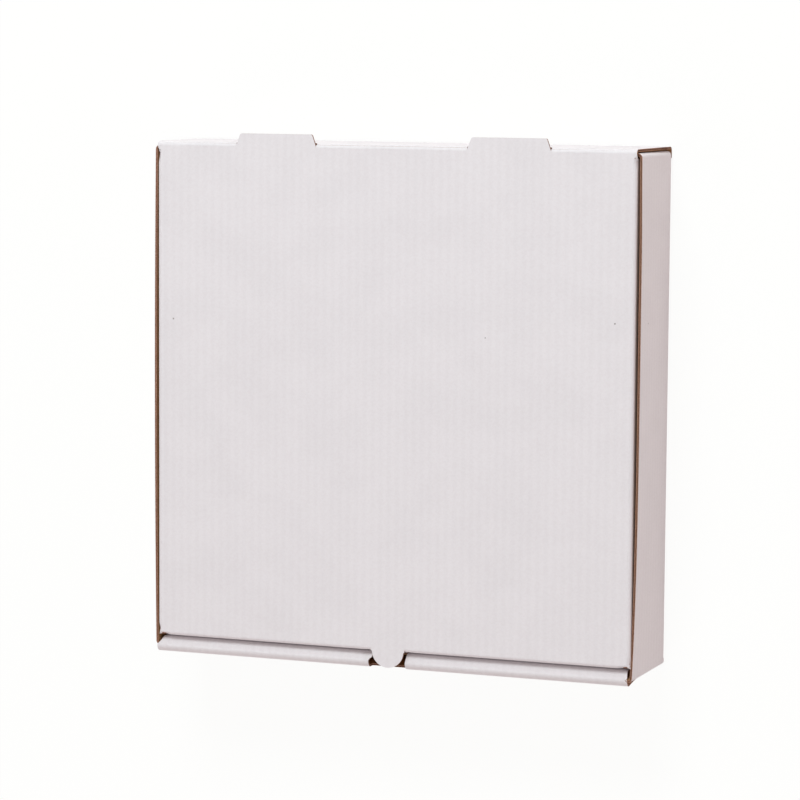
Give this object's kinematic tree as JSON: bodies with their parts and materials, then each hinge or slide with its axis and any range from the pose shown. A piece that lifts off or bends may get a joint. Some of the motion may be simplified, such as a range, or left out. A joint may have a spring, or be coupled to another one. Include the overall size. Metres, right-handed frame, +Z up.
{
  "type": "pizza box",
  "caption": "Small square folding box for one pizza, with a hinged lid, a rolled front wall with a finger notch, and tuck flaps.",
  "frame": {"origin": "middle of the base panel's underside, on the surface that the box lies on", "axes": "+Z up, +Y from the rolled front to the rear crease, +X to the right as seen from the front"},
  "size_m": [0.204, 0.2109, 0.0428],
  "materials": {
    "board": "fine-fluted corrugated board with an unprinted bleached matt outer liner; natural brown inside and on raw edges"
  },
  "bodies": {
    "tray": {"tray": "board"},
    "lid": {"lid": "board"}
  },
  "joints": [
    {"name": "lid_hinge", "type": "hinge", "parent": "tray", "child": "lid", "pos_m": [0, 0.10212, 0.04227], "axis": [-1, 0, 0], "range_deg": [0, 180]}
  ]
}
